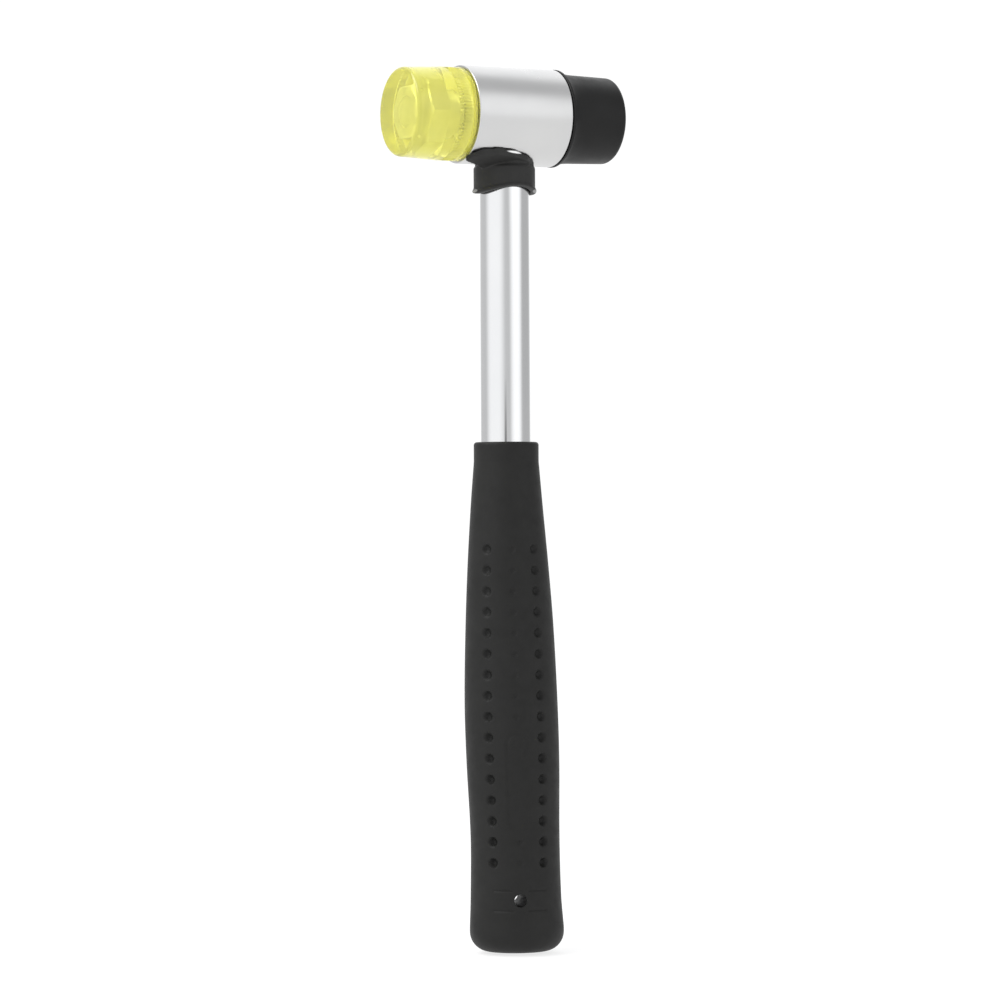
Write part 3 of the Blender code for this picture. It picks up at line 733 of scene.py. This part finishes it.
def build_world():
    """White to the camera; a soft grey room with bright panels to everything else."""
    world = bpy.data.worlds.new("studio")
    bpy.context.scene.world = world
    world.use_nodes = True
    nodes, link = world.node_tree.nodes, world.node_tree.links.new
    backdrop = nodes["Background"]
    backdrop.inputs["Color"].default_value = (1, 1, 1, 1)
    backdrop.inputs["Strength"].default_value = BACKDROP_LEVEL
    toward = nodes.new("ShaderNodeTexCoord").outputs["Generated"]
    level = nodes.new("ShaderNodeValue").outputs["Value"]
    level.default_value = ROOM_LEVEL
    for azimuth, elevation, inner, outer, added in ROOM_PANELS:
        dot = nodes.new("ShaderNodeVectorMath")
        dot.operation = "DOT_PRODUCT"
        dot.inputs[1].default_value = direction(azimuth, elevation)
        link(toward, dot.inputs[0])
        lobe = nodes.new("ShaderNodeMapRange")
        lobe.interpolation_type = "SMOOTHSTEP"
        for key, value in (("From Min", math.cos(math.radians(outer))),
                           ("From Max", math.cos(math.radians(inner))),
                           ("To Min", 0.0), ("To Max", added)):
            lobe.inputs[key].default_value = value
        link(dot.outputs["Value"], lobe.inputs["Value"])
        total = nodes.new("ShaderNodeMath")
        total.operation = "ADD"
        link(lobe.outputs["Result"], total.inputs[0])
        link(level, total.inputs[1])
        level = total.outputs["Value"]
    room = nodes.new("ShaderNodeBackground")
    room.inputs["Color"].default_value = (0.985, 0.99, 1.0, 1)
    link(level, room.inputs["Strength"])
    mix = nodes.new("ShaderNodeMixShader")
    link(nodes.new("ShaderNodeLightPath").outputs["Is Camera Ray"], mix.inputs["Fac"])
    link(room.outputs["Background"], mix.inputs[1])
    link(backdrop.outputs["Background"], mix.inputs[2])
    link(mix.outputs["Shader"], nodes["World Output"].inputs["Surface"])


def build_camera():
    data = bpy.data.cameras.new("camera")
    data.sensor_width = 36.0
    data.lens = CAMERA_LENS
    data.clip_start = 0.01
    camera = bpy.data.objects.new("camera", data)
    bpy.context.scene.collection.objects.link(camera)
    right = Vector((math.cos(CAMERA_AZIMUTH), math.sin(CAMERA_AZIMUTH), 0))
    back = Vector((math.sin(CAMERA_AZIMUTH), -math.cos(CAMERA_AZIMUTH), 0))
    camera.location = back * CAMERA_DISTANCE - right * CAMERA_ASIDE
    camera.location.z = CAMERA_HEIGHT
    level = back.to_track_quat("Z", "Y").to_matrix().to_4x4()
    camera.rotation_euler = (level @ Matrix.Rotation(CAMERA_ROLL, 4, "Z")).to_euler()
    bpy.context.scene.camera = camera


# ---- assembly --------------------------------------------------------------------------
def main():
    bpy.context.scene.view_settings.view_transform = "Standard"
    zinc = machined("zinc_steel_finish", 0.86, 0.42, 0.05)
    # the boot's rubber carries the painted highlights
    boot_rubber = rubber("black_rubber_finish", (0.015, 0.015, 0.0145), (0.021, 0.021, 0.020),
                         0.55, 2400.0, BOOT_PAINTED_GLINTS)
    grip_rubber = rubber("grip_rubber_finish", (0.0058, 0.0058, 0.0053),
                         (0.0088, 0.0088, 0.0082), 0.60, 2000.0)

    done(build_barrel(satin_metal()), "mallet", "head_barrel")
    done(build_tube(chrome()), "mallet", "handle_tube")
    done(build_yellow_face(yellow_resin()), "yellow_face", "yellow_face")
    done(build_black_face(black_nylon()), "black_face", "black_face")
    done(build_bolt("yellow_face_screw", -1, YELLOW_HI[0], YELLOW_HI[0] - YELLOW_LO[0], zinc),
         "yellow_face", "yellow_face_bolt")
    done(build_bolt("black_face_screw", 1, BLACK_LO[0], BLACK_HI[0] - BLACK_LO[0], zinc),
         "black_face", "black_face_bolt")
    done(build_boot(boot_rubber), "mallet", "neck_boot")
    done(build_grip(grip_rubber), "mallet", "grip")

    finishes = {
        "zinc_steel": zinc,
        "plug_steel": machined("plug_steel_finish", 0.5, 0.4),
        "shot_steel": machined("shot_steel_finish", 0.48, 0.3),
        "plug_plastic": rubber("plug_plastic_finish", (0.09,) * 3, (0.11,) * 3, 0.5, 1500.0),
    }
    for part in frame["record"]["subparts"]:
        if part["material_slot"] in finishes:
            node = frame["nodes"][part["node"]]
            node.data.materials.clear()
            node.data.materials.append(finishes[part["material_slot"]])

    build_floor()
    build_world()
    build_softbox()
    build_camera()


main()
